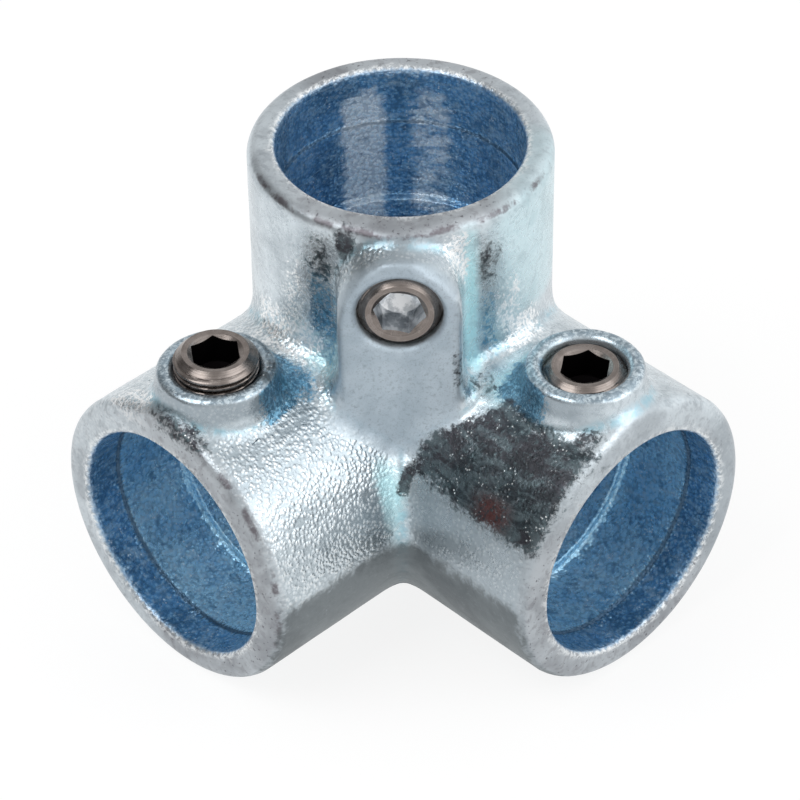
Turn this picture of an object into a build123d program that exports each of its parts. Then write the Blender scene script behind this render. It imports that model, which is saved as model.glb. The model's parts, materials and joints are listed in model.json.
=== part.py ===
from build123d import *
import math
import os

# A three-way corner fitting for round tube. One hollow casting carries three sockets whose axes
# meet at right angles, and each socket has its own hexagon-socket set screw that grips the tube.
# Millimetres, +Z up. The origin is the centre of the upright socket's tube stop. The side sockets
# point along +X and +Y, and the upright socket along +Z.

# Tube and sockets
tube_diameter = 48.3            # outside diameter of the tube that each socket takes
tube_gap = 0.25                 # room all round the tube on its seat
side_depth = 23.5               # side sockets, mouth to tube stop
upright_depth = 31.0            # upright socket, mouth to tube stop
side_relief_depth = 8.0         # length of the slightly wider mouth of a side socket
upright_relief_depth = 13.0     # the same in the upright socket
relief_step = 0.3               # how much wider the mouth is, all round
stop_step = 2.1                 # how far the tube stop stands in from the seat
stop_thickness = 4.5            # the stop's length along the socket
stop_rounding = 0.6             # both edges of the tube stop
mouth_bevel = 0.6               # bevel round the inside of each mouth

# Walls and blends of the casting
side_wall = 7.05                # side sockets, from the seat to the outside at mid height
side_raise = 0.35               # the outside sits this much towards the screws, for a thicker wall there
upright_wall = 5.8              # upright socket
junction_fillet = 4.0           # where barrels, pad and bosses run into each other
rim_rounding = 2.8              # outer edge of each mouth
smooth_angle = 5.0              # degrees between two faces, under which they count as one surface

# Faces that the screws sit in
screw_inset = 14.7              # from a mouth to its screw's axis
face_stand = 5.5                # from the top of a side barrel to the face
face_width = 24.0               # the round bosses on the side sockets, and the pad on the upright one
boss_land = 0.1                 # left between the fillets of a boss and of the upright barrel
face_rounding = 1.6             # outer edge of the bosses and the pad
tap_bevel = 0.9                 # bevel at the mouth of each tapped hole

# Set screws
screw_diameter = 16.66          # over the thread crests
screw_gap = 0.05                # room all round the screw in its hole
screw_length = 11.5
crown_diameter = 13.1           # ring between the thread's lead-in and the land
crown_land = 1.1                # width of the nearly flat land inside that ring
land_slope = 8.0                # degrees that the land falls inwards
key_width = 9.0                 # across the flats of the key socket
key_depth = 6.2
key_slope = 30.0                # degrees, the cone that leads the key in from the land
drill_slope = 30.0              # degrees, the cone that the drill left at the bottom of the key socket
cup_diameter = 11.0             # rim of the cup point
cup_depth = 2.2
screw_x_stand = 3.5             # how far each crown stands above the face that it sits in
screw_y_stand = -0.4
screw_z_stand = -0.7
screw_x_turn = 9.0              # degrees that each screw is turned about its axis
screw_y_turn = -9.0
screw_z_turn = -10.0

seat_radius = tube_diameter / 2 + tube_gap
relief_radius = seat_radius + relief_step
stop_radius = seat_radius - stop_step
side_radius = seat_radius + side_wall
upright_radius = seat_radius + upright_wall
screw_radius = screw_diameter / 2
crown_radius = crown_diameter / 2
cup_radius = cup_diameter / 2

# All three arms are as long as a side arm with its boss needs, measured from where the axes meet.
face_height = side_radius + side_raise + face_stand
screw_station = upright_radius + 2 * junction_fillet + boss_land + face_width / 2
arm_length = screw_station + screw_inset
spare_length = rim_rounding + junction_fillet + face_rounding

# The three axes meet here, and every socket is drawn from here along its plane's normal.
meeting_point = Vector(0, 0, upright_depth - arm_length)
socket_x = Plane(origin=meeting_point, x_dir=(0, 0, -1), z_dir=(1, 0, 0))
socket_y = Plane(origin=meeting_point, x_dir=(0, 0, -1), z_dir=(0, 1, 0))
socket_z = Plane(origin=meeting_point, x_dir=(-1, -1, 0), z_dir=(0, 0, 1))

# The outsides of the side sockets are centred a little higher than their bores.
side_centre = meeting_point + Vector(0, 0, side_raise)
barrel_x = Plane(origin=side_centre, x_dir=socket_x.x_dir, z_dir=socket_x.z_dir)
barrel_y = Plane(origin=side_centre, x_dir=socket_y.x_dir, z_dir=socket_y.z_dir)

# A screw's plane lies on its tube's axis, with the normal outwards along the screw.
station_x = meeting_point + Vector(screw_station, 0, 0)
station_y = meeting_point + Vector(0, screw_station, 0)
station_z = meeting_point + Vector(0, 0, screw_station)
screw_x = Plane(origin=station_x, x_dir=(1, 1, 0), z_dir=(0, 0, 1))
screw_y = Plane(origin=station_y, x_dir=(1, 1, 0), z_dir=(0, 0, 1))
screw_z = Plane(origin=station_z, x_dir=(-1, 1, 0), z_dir=(1, 1, 0))


def along(plane):
    """The axis that leaves a plane at its origin."""
    return Axis(plane.origin, plane.z_dir)


def screw_seat(screw_plane, outline):
    """A raised seat from the tube's axis out to the face that the screw sits in, its edge rounded."""
    with BuildPart() as seat:
        with BuildSketch(screw_plane):
            add(outline)
        extrude(amount=face_height)
        face = seat.faces().sort_by(along(screw_plane))[-1]
        fillet(face.edges().filter_by(lambda edge: edge.center().Z > meeting_point.Z), face_rounding)
    return seat.part


def socket_core(socket, depth, relief_depth):
    """The space that a socket leaves empty: mouth, seat, tube stop and the chamber behind it."""
    stop_face = arm_length - depth
    stop_back = stop_face - stop_thickness
    relief_end = arm_length - relief_depth
    beyond = arm_length + mouth_bevel
    half_section = Plane(origin=socket.origin, x_dir=socket.x_dir, z_dir=-socket.y_dir)
    with BuildPart() as core:
        with BuildSketch(half_section) as section:
            with BuildLine():
                Polyline(
                    (0, 0),
                    (seat_radius, 0),
                    (seat_radius, stop_back),
                    (stop_radius, stop_back),
                    (stop_radius, stop_face),
                    (seat_radius, stop_face),
                    (seat_radius, relief_end),
                    (relief_radius, relief_end),
                    (relief_radius, arm_length - mouth_bevel),
                    (relief_radius + 2 * mouth_bevel, beyond),
                    (0, beyond),
                    close=True,
                )
            make_face()
            stop_corners = section.vertices().group_by(Axis.X)[1]
            fillet(stop_corners, stop_rounding)
        revolve(axis=along(socket))
    return core.part


def is_inside_corner(edge, solid):
    """True where two faces of the solid meet in a hollow corner, and not at a seam or a smooth join."""
    sides = [face for face in solid.faces() if edge in face.edges()]
    if len(sides) != 2:
        return False
    first, second = (side.normal_at(edge @ 0.5) for side in sides)
    return first.get_angle(second) > smooth_angle and edge.is_interior


with BuildSketch() as boss_outline:
    Circle(face_width / 2)

# The pad is round at the top and runs straight down into the valley between the side barrels.
with BuildSketch() as pad_outline:
    Circle(face_width / 2)
    Rectangle(face_width, screw_station, align=(Align.CENTER, Align.MAX))

screw_seats = [
    screw_seat(screw_x, boss_outline.sketch),
    screw_seat(screw_y, boss_outline.sketch),
    screw_seat(screw_z, pad_outline.sketch),
]
cores = [
    socket_core(socket_x, side_depth, side_relief_depth),
    socket_core(socket_y, side_depth, side_relief_depth),
    socket_core(socket_z, upright_depth, upright_relief_depth),
]

with BuildPart() as casting:
    # Barrels, drawn past their mouths so that the blends run out cleanly where they are cut off.
    for barrel, radius in ((barrel_x, side_radius), (barrel_y, side_radius), (socket_z, upright_radius)):
        with BuildSketch(barrel):
            Circle(radius)
        extrude(amount=arm_length + spare_length)
    with Locations(side_centre):
        Sphere(side_radius)
    for seat in screw_seats:
        add(seat)
    inside_corners = casting.edges().filter_by(lambda edge: is_inside_corner(edge, casting.part))
    fillet(inside_corners, junction_fillet)

    # Cut the three mouths square and round their rims.
    reach = 2 * (arm_length + side_radius)
    with Locations(meeting_point + Vector(arm_length, arm_length, arm_length)):
        Box(reach, reach, reach, align=(Align.MAX, Align.MAX, Align.MAX), mode=Mode.INTERSECT)
    rims = [
        edge
        for socket in (socket_x, socket_y, socket_z)
        for edge in casting.faces().sort_by(along(socket))[-1].outer_wire().edges()
    ]
    fillet(rims, rim_rounding)

    # Hollow out the sockets, and drill the tapped holes from the sockets outwards.
    for core in cores:
        add(core, mode=Mode.SUBTRACT)
    with Locations(meeting_point):
        Sphere(seat_radius, mode=Mode.SUBTRACT)
    for screw_plane in (screw_x, screw_y, screw_z):
        with BuildSketch(screw_plane):
            Circle(screw_radius + screw_gap)
        extrude(amount=face_height, mode=Mode.SUBTRACT)
        hole_edges = casting.edges(Select.LAST).filter_by(GeomType.CIRCLE)
        chamfer(hole_edges.sort_by(along(screw_plane))[-1], tap_bevel)

# One set screw, standing on its tip with the crown ring at Z = 0.
crown_bevel = screw_radius - crown_radius
tip_bevel = screw_radius - cup_radius
land_radius = crown_radius - crown_land
land_drop = crown_land * math.tan(math.radians(land_slope))
cone_point = land_drop + land_radius * math.tan(math.radians(key_slope))
drill_radius = key_width / 2
drill_point = drill_radius * math.tan(math.radians(drill_slope))

with BuildPart() as set_screw:
    # Cup point, thread over its crests, crown ring, land, and the cone that leads the key in.
    with BuildSketch(Plane.XZ):
        with BuildLine():
            Polyline(
                (0, cup_depth - screw_length),
                (cup_radius, -screw_length),
                (screw_radius, tip_bevel - screw_length),
                (screw_radius, -crown_bevel),
                (crown_radius, 0),
                (land_radius, -land_drop),
                (0, -cone_point),
                close=True,
            )
        make_face()
    revolve(axis=Axis.Z)

    # Key socket, with the drill's cone at its bottom.
    with BuildSketch():
        RegularPolygon(key_width / 2, 6, major_radius=False)
    extrude(amount=-key_depth, mode=Mode.SUBTRACT)
    with BuildSketch(Plane.XZ):
        with BuildLine():
            Polyline(
                (0, -key_depth - drill_point),
                (drill_radius, -key_depth),
                (0, -key_depth),
                close=True,
            )
        make_face()
    revolve(axis=Axis.Z, mode=Mode.SUBTRACT)

# Each screw stands in its hole at its own height and turn.
with BuildPart(screw_x.offset(face_height + screw_x_stand)) as set_screw_x:
    add(set_screw.part, rotation=(0, 0, screw_x_turn))

with BuildPart(screw_y.offset(face_height + screw_y_stand)) as set_screw_y:
    add(set_screw.part, rotation=(0, 0, screw_y_turn))

with BuildPart(screw_z.offset(face_height + screw_z_stand)) as set_screw_z:
    add(set_screw.part, rotation=(0, 0, screw_z_turn))

casting.part.label = "casting"
set_screw_x.part.label = "set_screw_x"
set_screw_y.part.label = "set_screw_y"
set_screw_z.part.label = "set_screw_z"

os.makedirs("parts", exist_ok=True)
export_step(casting.part, "parts/casting.step")
export_step(set_screw_x.part, "parts/set_screw_x.step")
export_step(set_screw_y.part, "parts/set_screw_y.step")
export_step(set_screw_z.part, "parts/set_screw_z.step")
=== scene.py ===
import json
import math

import bmesh
import bpy
import numpy as np
from mathutils import Matrix, Vector


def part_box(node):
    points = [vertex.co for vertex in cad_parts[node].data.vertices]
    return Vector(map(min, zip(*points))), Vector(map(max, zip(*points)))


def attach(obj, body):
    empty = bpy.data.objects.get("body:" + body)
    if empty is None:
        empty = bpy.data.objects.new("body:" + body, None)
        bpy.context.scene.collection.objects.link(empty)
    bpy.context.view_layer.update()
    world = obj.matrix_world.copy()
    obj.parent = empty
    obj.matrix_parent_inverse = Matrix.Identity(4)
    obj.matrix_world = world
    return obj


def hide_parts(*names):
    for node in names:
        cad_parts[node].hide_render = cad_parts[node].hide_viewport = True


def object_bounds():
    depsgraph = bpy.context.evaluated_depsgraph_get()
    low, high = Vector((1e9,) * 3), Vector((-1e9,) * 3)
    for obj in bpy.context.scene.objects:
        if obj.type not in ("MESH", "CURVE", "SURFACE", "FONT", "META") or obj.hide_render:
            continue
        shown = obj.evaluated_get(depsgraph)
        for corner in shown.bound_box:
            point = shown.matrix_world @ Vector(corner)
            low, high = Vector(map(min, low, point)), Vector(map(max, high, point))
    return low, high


bl_info = {
    "name": "Tube clamp corner fitting",
    "version": (1, 0, 0),
    "blender": (4, 5, 0),
    "location": "View3D > Sidebar > Corner Fitting",
    "description": "Dresses a galvanised three-way corner fitting and its three set screws",
    "category": "Object",
}

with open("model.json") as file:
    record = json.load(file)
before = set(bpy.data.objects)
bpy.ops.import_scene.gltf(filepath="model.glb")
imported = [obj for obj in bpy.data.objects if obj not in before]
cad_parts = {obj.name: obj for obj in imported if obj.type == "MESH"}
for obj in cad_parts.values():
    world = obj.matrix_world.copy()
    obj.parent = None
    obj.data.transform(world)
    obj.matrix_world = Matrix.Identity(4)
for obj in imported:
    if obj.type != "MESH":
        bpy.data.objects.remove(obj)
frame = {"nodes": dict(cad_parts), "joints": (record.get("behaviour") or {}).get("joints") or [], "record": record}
cad_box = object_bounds()

MM = 0.001
MOUNTS = {mount["name"]: mount for mount in frame["record"]["mounts"]}
MEETING_POINT = Vector((
    MOUNTS["socket_z"]["pos_m"][0],
    MOUNTS["socket_z"]["pos_m"][1],
    MOUNTS["socket_x"]["pos_m"][2],
))
SEAT_RADIUS = MOUNTS["socket_x"]["dims"]["r_mm"] * MM
ARM_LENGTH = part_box("casting")[1][0]
SIDE_RADIUS = -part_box("casting")[0][0]
RELIEF_DEPTHS = (8.0 * MM, 8.0 * MM, 13.0 * MM)
DRILL_REACH = 10.2 * MM     # round each tapped hole, the casting stays crisp out to this radius
SCREWS = ("set_screw_x", "set_screw_y", "set_screw_z")
SCREW_BODIES = {"set_screw_x": "screw_x", "set_screw_y": "screw_y", "set_screw_z": "screw_z"}
# Share of painted shade in each key socket: black in the side screws, pale painted light in the upright one.
SOCKET_SHADE = {"set_screw_x": 1.0, "set_screw_y": 1.0, "set_screw_z": 0.12}
SCREW_AXES = {joint["child"]: Vector(joint["axis"]).normalized() for joint in frame["joints"]}


# ---------------------------------------------------------------- settings

def measure(name, description, value, **limits):
    return bpy.props.FloatProperty(
        name=name, description=description, default=value, unit="LENGTH", **limits)


def tint(name, description, value):
    return bpy.props.FloatVectorProperty(
        name=name, description=description, default=value, subtype="COLOR", size=3, min=0, max=1)


def slope(name, description, value):
    return bpy.props.FloatProperty(
        name=name, description=description, default=math.radians(value), subtype="ANGLE")


class CastingSettings(bpy.types.PropertyGroup):
    """Sizes and colours of the galvanised casting."""
    facet: measure("Facet", "Longest edge of the facets before thinning", 1.05 * MM, min=0.5 * MM)
    most_triangles: bpy.props.IntProperty(
        name="Most triangles", description="Triangles that the finished casting may have",
        default=196000, min=20000)
    upright_wall: measure("Upright wall", "From the upright socket's seat to its outside", 5.8 * MM)
    side_raise: measure("Side raise", "From the side bores' axes up to their outsides'", 0.35 * MM)
    relief_step: measure("Relief step", "How much wider each mouth is than the seat, all round", 0.3 * MM)
    stop_step: measure("Stop step", "How far the tube stop stands in from the seat", 2.1 * MM)
    face_height: measure("Face height", "From a tube's axis to the face that its screw sits in", 37.3 * MM)
    face_width: measure("Face width", "Width of the bosses and of the pad", 24.0 * MM)
    screw_station: measure("Screw station", "From where the axes meet to each screw's axis", 50.3 * MM)
    lump_size: measure("Lump size", "Size of the casting's slow waves", 9.0 * MM)
    lump_height: measure("Lump height", "Height of the slow waves", 0.16 * MM)
    run_size: measure("Run size", "Size of the zinc's runs", 3.2 * MM)
    run_height: measure("Run height", "Height of the zinc's runs", 0.045 * MM)
    relaxing: bpy.props.IntProperty(
        name="Relaxing", description="Rounds that relax the as-cast outside", default=20, min=0)
    pad_relaxing: bpy.props.IntProperty(
        name="Pad relaxing", description="More rounds for the pad's soft edges", default=50, min=0)
    crease: slope("Crease", "Edges sharper than this stay crisp", 42)
    seed: bpy.props.IntProperty(
        name="Seed", description="Chooses another pattern of waves", default=7, min=0)
    zinc_colour: tint("Zinc", "Bright galvanising", (0.68, 0.755, 0.80))
    # The dull zinc colour is also the colour of the painted shade on the shaded sides.
    dull_and_shade_colour: tint("Dull zinc", "Duller galvanising", (0.35, 0.405, 0.445))
    hollow_colour: tint("Hollows", "Galvanising in the hollow blends", (0.22, 0.50, 0.62))
    bore_colour: tint("Bores", "Inside of the sockets", (0.12, 0.33, 0.60))
    deep_colour: tint("Deep hollows", "Darkest blue between bosses and upright", (0.045, 0.135, 0.22))
    tarnish_colour: tint("Tarnish", "Dark patches where the zinc ran thin", (0.034, 0.030, 0.038))


class ScrewSettings(bpy.types.PropertyGroup):
    """Sizes and colour of the three set screws."""
    radius: measure("Radius", "Radius over the thread's crests", 8.33 * MM)
    length: measure("Length", "From the crown ring to the cup's rim", 11.5 * MM)
    crown_radius: measure("Crown radius", "Radius of the crown ring", 6.55 * MM)
    land_width: measure("Land width", "Nearly flat land inside the crown ring", 1.1 * MM)
    land_slope: slope("Land slope", "How much the land falls inwards", 8)
    key_width: measure("Key width", "Across the flats of the key socket", 9.0 * MM)
    key_depth: measure("Key depth", "Depth of the key socket's flats", 6.2 * MM)
    cone_slope: slope("Cone slope", "Slope of the cone that leads the key in and of the drilled bottom", 30)
    cup_radius: measure("Cup radius", "Radius of the cup point's rim", 5.5 * MM)
    cup_depth: measure("Cup depth", "Depth of the cup point", 2.2 * MM)
    pitch: measure("Pitch", "Thread pitch, 19 turns to the inch", 25.4 / 19 * MM)
    thread_depth: measure("Thread depth", "From crest to root", 0.856 * MM)
    crease: slope("Crease", "Edges sharper than this stay crisp", 28)
    steel_colour: tint("Steel", "Turned steel", (0.27, 0.238, 0.222))


class StageSettings(bpy.types.PropertyGroup):
    """Floor, lamps and camera."""
    floor_colour: tint("Floor", "Colour of the floor", (0.9, 0.9, 0.9))
    sky: bpy.props.FloatProperty(
        name="Room light", description="Level of the light from all round", default=0.62, min=0)
    key_watts: bpy.props.FloatProperty(
        name="Key lamp", description="Power of the main lamp", default=5.0, unit="POWER")
    fill_watts: bpy.props.FloatProperty(
        name="Fill lamp", description="Power of the second lamp", default=3.0, unit="POWER")
    lens: bpy.props.FloatProperty(
        name="Lens", description="Focal length", default=158.62, unit="CAMERA")


# ---------------------------------------------------------------- node helpers

class Wiring:
    """Adds nodes to a tree and links them; an input may be a number, a colour or another node's output."""

    def __init__(self, tree):
        self.tree = tree

    def node(self, kind, **values):
        made = self.tree.nodes.new(kind)
        for name, value in values.items():
            setattr(made, name, value)
        return made

    def feed(self, socket, value):
        if isinstance(value, bpy.types.NodeSocket):
            self.tree.links.new(value, socket)
        elif hasattr(value, "__len__") and len(value) == 3 and len(socket.default_value) == 4:
            socket.default_value = (*value, 1.0)
        else:
            socket.default_value = value

    def sum(self, operation, first, second=0.0, third=0.0, clamp=False):
        made = self.node("ShaderNodeMath", operation=operation, use_clamp=clamp)
        for socket, value in zip(made.inputs, (first, second, third)):
            self.feed(socket, value)
        return made.outputs[0]

    def plus(self, first, second, clamp=False):
        return self.sum("ADD", first, second, clamp=clamp)

    def times(self, first, second, clamp=False):
        return self.sum("MULTIPLY", first, second, clamp=clamp)

    def scaled(self, value, factor, offset, clamp=False):
        """A value times a factor, plus an offset."""
        return self.sum("MULTIPLY_ADD", value, factor, offset, clamp)

    def vector(self, operation, first, second=(0.0, 0.0, 0.0)):
        made = self.node("ShaderNodeVectorMath", operation=operation)
        self.feed(made.inputs[0], first)
        self.feed(made.inputs[1], second)
        return made.outputs[0]

    def step(self, value, low, high):
        made = self.node("ShaderNodeMapRange", interpolation_type="SMOOTHSTEP")
        for name, entry in (("Value", value), ("From Min", low), ("From Max", high)):
            self.feed(made.inputs[name], entry)
        return made.outputs[0]

    def blend(self, factor, first, second, mode="MIX"):
        made = self.node("ShaderNodeMix", data_type="RGBA", blend_type=mode)
        self.feed(made.inputs[0], factor)
        self.feed(made.inputs[6], first)
        self.feed(made.inputs[7], second)
        return made.outputs[2]

    def fleck(self, ground, colour, texture, low, high, amount=None):
        """Another colour over the ground, rising as the texture goes from low to high."""
        share = self.step(texture, low, high)
        return self.blend(share if amount is None else self.times(share, amount), ground, colour)

    def noise(self, place, size, detail=2.0, rough=0.5, warp=0.0):
        made = self.node("ShaderNodeTexNoise")
        self.feed(made.inputs["Vector"], place)
        self.feed(made.inputs["Scale"], 1.0 / size)
        self.feed(made.inputs["Detail"], detail)
        self.feed(made.inputs["Roughness"], rough)
        self.feed(made.inputs["Distortion"], warp)
        return made.outputs["Fac"]

    def coloured_noise(self, place, size):
        made = self.node("ShaderNodeTexNoise")
        self.feed(made.inputs["Vector"], place)
        self.feed(made.inputs["Scale"], 1.0 / size)
        return made.outputs["Color"]

    def cells(self, place, size):
        """Distance to the middle of the nearest cell, and a random colour for each cell."""
        made = self.node("ShaderNodeTexVoronoi", feature="F1")
        self.feed(made.inputs["Vector"], place)
        self.feed(made.inputs["Scale"], 1.0 / size)
        return made.outputs["Distance"], made.outputs["Color"]

    def mask(self, name):
        return self.node("ShaderNodeAttribute", attribute_name=name).outputs["Fac"]


def new_material(name):
    """An empty node material with its output, and the wiring to fill it."""
    material = bpy.data.materials.new(name)
    material.use_nodes = True
    material.node_tree.nodes.clear()
    wiring = Wiring(material.node_tree)
    return material, wiring, wiring.node("ShaderNodeOutputMaterial")


# ---------------------------------------------------------------- materials

class Zinc:
    """The textures that the galvanising's colours and bumps are mixed from."""

    def __init__(self, w):
        self.w = w
        self.place = w.node("ShaderNodeTexCoord").outputs["Object"]
        self.clouds = w.noise(self.place, 13 * MM, 4.0, 0.6, 0.4)
        self.mottle = w.noise(self.place, 2.4 * MM, 5.0, 0.65, 0.6)
        self.flakes = w.noise(self.place, 0.85 * MM, 4.0, 0.70, 0.5)
        self.grain = w.noise(self.place, 0.34 * MM, 2.0, 0.6)
        self.ripples = w.noise(self.stretched(1.0, 3.0), 5.0 * MM, 3.0, 0.6, 1.0)

        stray = w.node("ShaderNodeVectorMath", operation="SCALE")
        w.feed(stray.inputs[0], w.coloured_noise(self.place, 1.1 * MM))
        stray.inputs["Scale"].default_value = 0.6 * MM
        strayed = w.vector("ADD", self.place, stray.outputs[0])
        self.beads = w.step(w.cells(strayed, 0.86 * MM)[0], 0.80, 0.05)

        # Painted glints: tiny white specks in clusters, standing in for light glinting off zinc facets.
        dot_distance, dot_colour = w.cells(self.place, 0.42 * MM)
        dots = w.times(w.step(dot_distance, 0.55, 0.25), w.step(dot_colour, 0.72, 0.78))
        clusters = w.noise(self.place, 5 * MM, 3.0, 0.6)
        self.painted_sparkle = w.times(dots, w.step(clusters, 0.50, 0.62))

    def stretched(self, along_y, along_z):
        """The place with Y and Z scaled, which squeezes a texture along them."""
        return self.w.vector("MULTIPLY", self.place, (1.0, along_y, along_z))

    def ragged(self, share, reach, low=0.35, high=0.75):
        """A soft mask broken up by the flakes and the mottling, and 0 where the mask is."""
        w = self.w
        rough = w.scaled(self.flakes, reach, w.scaled(self.mottle, reach, -reach))
        return w.times(w.step(w.plus(share, rough), low, high), w.step(share, 0.02, 0.22))


def shaded_by(share, colour):
    """A darker or lighter shade of a colour."""
    return tuple(share * part for part in colour)


def cast_colour(w, zinc, settings):
    """Zinc as it ran over the casting, with pebbles painted light on top and shaded between, blue hollows, pale
    cyan strips painted as a reflection, and painted highlights as white glints.
    """
    dull_and_shade, bright = tuple(settings.dull_and_shade_colour), tuple(settings.zinc_colour)
    pebble, cyan_sheen = w.mask("pebble"), w.mask("cyan_sheen")
    colour = w.fleck(w.blend(0.5, dull_and_shade, bright), bright, zinc.clouds, 0.34, 0.60)
    # Painted shade: the shaded sides and the darker patches take the dull zinc colour.
    colour = w.blend(w.mask("dull_and_shade"), colour, dull_and_shade)
    colour = w.fleck(colour, dull_and_shade, zinc.mottle, 0.50, 0.34, 0.45)
    # Painted light and shade: pale pebble tops and darker hollows between them.
    colour = w.fleck(colour, (0.90, 0.94, 0.945), zinc.beads, 0.45, 0.90, w.times(pebble, 0.6))
    colour = w.fleck(colour, (0.30, 0.365, 0.40), zinc.beads, 0.40, 0.05, w.times(pebble, 0.42))
    colour = w.fleck(colour, (0.27, 0.32, 0.36), zinc.flakes, 0.46, 0.36, 0.35)

    patchy = w.step(zinc.mottle, 0.38, 0.60)
    soft_blue = w.times(w.mask("hollow"), w.scaled(patchy, 0.50, 0.12), clamp=True)
    colour = w.blend(soft_blue, colour, tuple(settings.hollow_colour))
    # Painted reflection: bright pale cyan over the strips.
    cyan_sheen_strips = w.times(cyan_sheen, w.scaled(patchy, 0.20, 0.80), clamp=True)
    colour = w.blend(cyan_sheen_strips, colour, (0.56, 0.93, 1.0))
    deep_blue = w.fleck(tuple(settings.deep_colour), (0.17, 0.38, 0.54), zinc.flakes, 0.46, 0.60)
    deep_blue = w.fleck(deep_blue, (0.55, 0.78, 0.88), zinc.grain, 0.60, 0.70, 0.8)
    deep_share = zinc.ragged(w.mask("blue"), 2.0, 0.25, 0.7)
    colour = w.blend(w.times(deep_share, 0.95), colour, deep_blue)
    # Painted highlights: white glints over the shine patches.
    painted_glints = w.fleck((0.58, 0.70, 0.77), (0.97, 0.985, 0.99), zinc.flakes, 0.42, 0.54)
    return w.blend(w.times(zinc.ragged(w.mask("painted_shine"), 2.6), 0.9), colour, painted_glints)


def with_faces(w, zinc, colour):
    """Adds the smooth pad and the worked faces of the bosses."""
    smooth = w.fleck((0.42, 0.50, 0.565), (0.50, 0.58, 0.645), zinc.clouds, 0.38, 0.62)
    smooth = w.fleck(smooth, (0.24, 0.29, 0.33), zinc.flakes, 0.48, 0.34, 0.40)
    smooth = w.fleck(smooth, (0.20, 0.23, 0.26), zinc.grain, 0.44, 0.32, 0.35)
    colour = w.blend(w.times(w.mask("flat"), 0.85), colour, smooth)
    worked = w.fleck((0.13, 0.19, 0.24), (0.60, 0.70, 0.76), zinc.flakes, 0.46, 0.58)
    worked = w.fleck(worked, (0.26, 0.36, 0.44), zinc.mottle, 0.54, 0.40, 0.6)
    return w.blend(w.times(w.mask("boss_face"), 0.75), colour, worked)


def with_rims(w, zinc, colour):
    """Adds the grey rims, their worn outer edges and the painted highlights on the lips of the bores."""
    grey = w.fleck((0.31, 0.33, 0.355), (0.47, 0.505, 0.535), zinc.clouds, 0.36, 0.62)
    grey = w.fleck(grey, (0.22, 0.225, 0.245), zinc.mottle, 0.50, 0.36, 0.50)
    pits = w.noise(zinc.place, 0.9 * MM, 3.0, 0.6)
    grey = w.fleck(grey, (0.085, 0.08, 0.095), pits, 0.38, 0.33, 0.7)
    colour = w.blend(w.mask("rim"), colour, grey)
    uneven = w.step(w.noise(zinc.place, 6 * MM, 4.0, 0.65), 0.38, 0.60)
    worn = w.times(w.mask("brink"), w.scaled(uneven, 0.55, 0.40))
    worn = zinc.ragged(worn, 0.9, 0.30, 1.0)
    colour = w.blend(w.times(worn, 0.85), colour, (0.115, 0.098, 0.112))
    # Painted highlight: white flecks along the lips of the bores.
    return w.fleck(colour, (0.93, 0.96, 0.97), zinc.flakes, 0.44, 0.58, w.times(w.mask("lip"), 0.8))


def with_underside_shade(w, zinc, colour):
    """Adds painted shade on the underside, in darker zinc colours, with a ragged border."""
    # Painted shade: darker colours for the underside.
    shaded = w.fleck((0.115, 0.133, 0.142), (0.165, 0.188, 0.198), zinc.clouds, 0.36, 0.60)
    shaded = w.fleck(shaded, (0.32, 0.36, 0.37), zinc.flakes, 0.58, 0.70, 0.25)
    border = w.plus(w.mask("painted_underside_shade"), w.scaled(zinc.mottle, 1.6, -0.8))
    return w.fleck(colour, shaded, border, 0.15, 0.85, 0.9)


def with_tarnish(w, zinc, colour, tarnish_colour):
    """Adds the dark, thin patches with their smears, rust and painted glints as white specks."""
    smears = w.noise(zinc.stretched(0.45, 1.0), 3.4 * MM, 5.0, 0.68, 0.8)
    stain = w.fleck((0.020, 0.032, 0.040), tarnish_colour, zinc.clouds, 0.40, 0.58)
    stain = w.fleck(stain, (0.095, 0.128, 0.142), smears, 0.46, 0.60, 0.80)
    stain = w.fleck(stain, (0.010, 0.011, 0.015), smears, 0.48, 0.36, 0.75)
    stain = w.fleck(stain, (0.13, 0.19, 0.205), zinc.flakes, 0.54, 0.66, 0.50)
    stain = w.fleck(stain, (0.018, 0.019, 0.024), zinc.flakes, 0.46, 0.34, 0.75)
    stain = w.fleck(stain, (0.095, 0.026, 0.022), zinc.flakes, 0.38, 0.50, w.mask("rust"))
    # Painted glints: white specks.
    stain = w.blend(w.times(zinc.painted_sparkle, 0.9), stain, (0.93, 0.97, 0.98))
    dark = zinc.ragged(w.mask("tarnish"), 1.6, 0.22, 0.78)
    return w.blend(w.times(dark, 0.96), colour, stain)


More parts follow.
